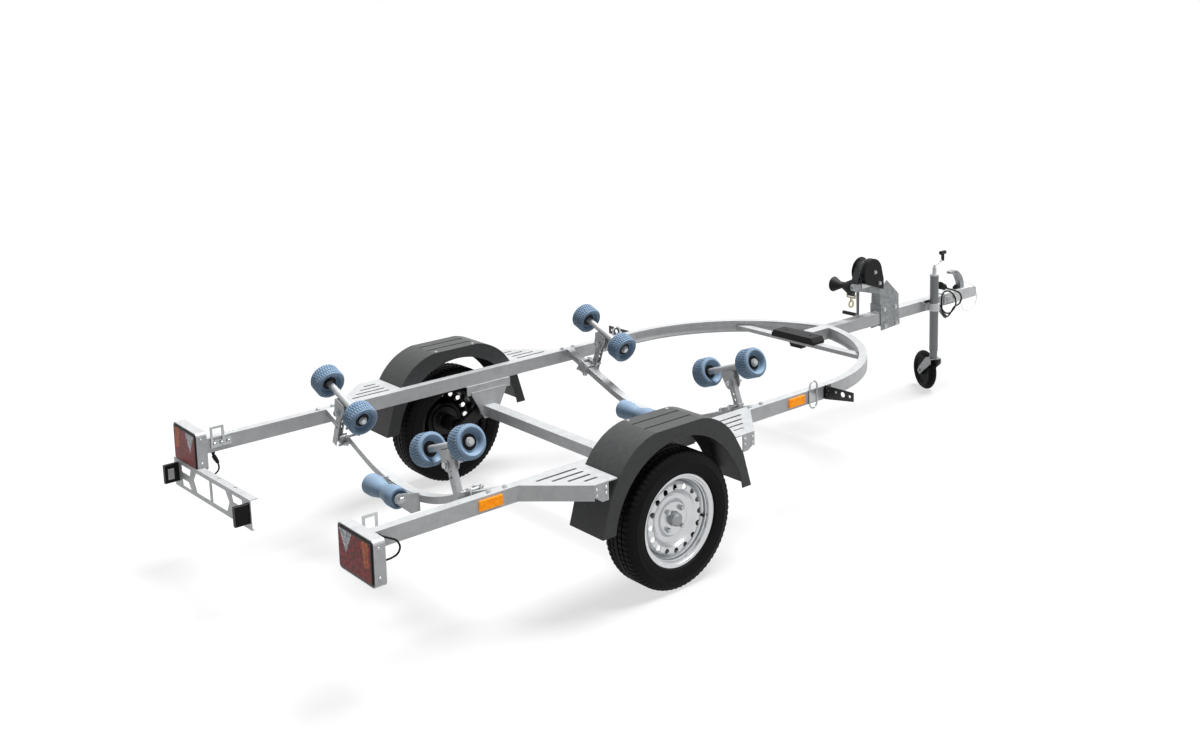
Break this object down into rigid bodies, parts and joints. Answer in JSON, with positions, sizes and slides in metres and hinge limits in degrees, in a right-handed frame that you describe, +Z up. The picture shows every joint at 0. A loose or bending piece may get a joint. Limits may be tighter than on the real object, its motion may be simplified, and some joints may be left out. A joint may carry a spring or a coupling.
{
  "type": "boat trailer",
  "caption": "Single-axle boat trailer with side rails that meet in a rounded bow, hull rollers on rocking arms, keel rollers, a winch post and a jockey wheel",
  "frame": {"origin": "on the ground, under the centre of the overall box", "axes": "+X towards the coupling, +Y to the trailer's left side, +Z up"},
  "size_m": [4.543, 1.7, 0.852],
  "materials": {
    "amber_plastic": "prismatic",
    "bare_cable": "stranded",
    "black_paint": "semi-gloss",
    "black_plastic": "smooth",
    "black_rubber": "matte",
    "galvanised": "galvanised, slightly spangled",
    "grey_casting": "zinc plated casting",
    "guard_plastic": "fine grain",
    "lamp_plastic": "clear lens",
    "lead_sheath": "matte",
    "roller_rubber": "satin blue-grey",
    "tyre_rubber": "matte",
    "webbing": "woven",
    "wheel_silver": "silver paint",
    "zinc_plate": "bright zinc plated"
  },
  "bodies": {
    "frame": {"axle_beam": "galvanised", "axle_hangers": "galvanised", "bow": "galvanised", "bow_bar": "galvanised", "breakaway_cable": "bare_cable", "coupling": "grey_casting", "coupling_handle": "zinc_plate", "drawbar": "galvanised", "dropped_crossmembers": "galvanised", "jockey_clamp": "zinc_plate", "jockey_crank": "zinc_plate", "jockey_tube": "zinc_plate", "keel_brackets": "galvanised", "keel_pad": "black_rubber", "lamp_boxes": "galvanised", "lamp_leads": "lead_sheath", "marker_brackets": "black_paint", "mudguard_left": "guard_plastic", "mudguard_right": "guard_plastic", "pad_bumper": "black_rubber", "plate_holder": "galvanised", "plate_lamps": "black_plastic", "plug": "black_plastic", "plug_lead": "lead_sheath", "rear_lamps": "lamp_plastic", "roller_posts_front": "galvanised", "roller_posts_rear": "galvanised", "side_rail_left": "galvanised", "side_rail_right": "galvanised", "side_reflectors": "amber_plastic", "snap_hook": "zinc_plate", "step_plates": "galvanised", "swing_arms": "galvanised", "tie_downs": "galvanised", "winch_cover": "black_plastic", "winch_crank": "zinc_plate", "winch_drum": "webbing", "winch_frame": "zinc_plate", "winch_post": "galvanised", "winch_strap": "webbing"},
    "left_wheel": {"wheel_hub_left": "grey_casting", "wheel_rim_left": "wheel_silver", "tyre_left": "tyre_rubber"},
    "right_wheel": {"wheel_hub_right": "grey_casting", "wheel_rim_right": "wheel_silver", "tyre_right": "tyre_rubber"},
    "rear_left_rocker": {"rocker_rear_left": "galvanised"},
    "rear_left_rollers": {"roller_pair_rear_left": "roller_rubber"},
    "rear_right_rocker": {"rocker_rear_right": "galvanised"},
    "rear_right_rollers": {"roller_pair_rear_right": "roller_rubber"},
    "front_left_rocker": {"rocker_front_left": "galvanised"},
    "front_left_rollers": {"roller_pair_front_left": "roller_rubber"},
    "front_right_rocker": {"rocker_front_right": "galvanised"},
    "front_right_rollers": {"roller_pair_front_right": "roller_rubber"},
    "rear_keel_roller": {"keel_roller_rear": "roller_rubber"},
    "front_keel_roller": {"keel_roller_front": "roller_rubber"},
    "bow_roller": {"bow_roller": "black_rubber"},
    "jockey_stem": {"jockey_stem": "zinc_plate"},
    "jockey_fork": {"jockey_fork": "zinc_plate"},
    "jockey_wheel": {"jockey_wheel": "black_rubber"}
  },
  "joints": [
    {"name": "left_wheel_spin", "type": "hinge", "parent": "frame", "child": "left_wheel", "pos_m": [-0.9015, 0.772, 0.2735], "axis": [0, 1, 0], "continuous": true},
    {"name": "right_wheel_spin", "type": "hinge", "parent": "frame", "child": "right_wheel", "pos_m": [-0.9015, -0.772, 0.2735], "axis": [0, 1, 0], "continuous": true},
    {"name": "rear_left_rocker_tilt", "type": "hinge", "parent": "frame", "child": "rear_left_rocker", "pos_m": [-1.6465, 0.409, 0.582], "axis": [1, 0, 0], "range_deg": [-15, 15]},
    {"name": "rear_left_rollers_spin", "type": "hinge", "parent": "rear_left_rocker", "child": "rear_left_rollers", "pos_m": [-1.6465, 0.38677, 0.64308], "axis": [0, 0.9397, 0.342], "continuous": true},
    {"name": "rear_right_rocker_tilt", "type": "hinge", "parent": "frame", "child": "rear_right_rocker", "pos_m": [-1.6465, -0.409, 0.582], "axis": [1, 0, 0], "range_deg": [-15, 15]},
    {"name": "rear_right_rollers_spin", "type": "hinge", "parent": "rear_right_rocker", "child": "rear_right_rollers", "pos_m": [-1.6465, -0.38677, 0.64308], "axis": [0, -0.9397, 0.342], "continuous": true},
    {"name": "front_left_rocker_tilt", "type": "hinge", "parent": "frame", "child": "front_left_rocker", "pos_m": [-0.2045, 0.445, 0.583], "axis": [1, 0, 0], "range_deg": [-15, 15]},
    {"name": "front_left_rollers_spin", "type": "hinge", "parent": "front_left_rocker", "child": "front_left_rollers", "pos_m": [-0.2045, 0.42277, 0.64408], "axis": [0, 0.9397, 0.342], "continuous": true},
    {"name": "front_right_rocker_tilt", "type": "hinge", "parent": "frame", "child": "front_right_rocker", "pos_m": [-0.2045, -0.445, 0.583], "axis": [1, 0, 0], "range_deg": [-15, 15]},
    {"name": "front_right_rollers_spin", "type": "hinge", "parent": "front_right_rocker", "child": "front_right_rollers", "pos_m": [-0.2045, -0.42277, 0.64408], "axis": [0, -0.9397, 0.342], "continuous": true},
    {"name": "rear_keel_roller_spin", "type": "hinge", "parent": "frame", "child": "rear_keel_roller", "pos_m": [-1.6955, 0, 0.371], "axis": [0, 1, 0], "continuous": true},
    {"name": "front_keel_roller_spin", "type": "hinge", "parent": "frame", "child": "front_keel_roller", "pos_m": [-0.3675, 0, 0.371], "axis": [0, 1, 0], "continuous": true},
    {"name": "bow_roller_spin", "type": "hinge", "parent": "frame", "child": "bow_roller", "pos_m": [1.0845, 0, 0.73], "axis": [0, 1, 0], "continuous": true},
    {"name": "jockey_lift", "type": "slide", "parent": "frame", "child": "jockey_stem", "axis": [0, 0, 1], "range_m": [-0.15, 0.033]},
    {"name": "jockey_swivel", "type": "hinge", "parent": "jockey_stem", "child": "jockey_fork", "pos_m": [1.8025, -0.066, 0.206], "axis": [0, 0, 1], "continuous": true},
    {"name": "jockey_wheel_spin", "type": "hinge", "parent": "jockey_fork", "child": "jockey_wheel", "pos_m": [1.84699, 0.02132, 0.11], "axis": [0.891, -0.454, 0], "continuous": true}
  ]
}
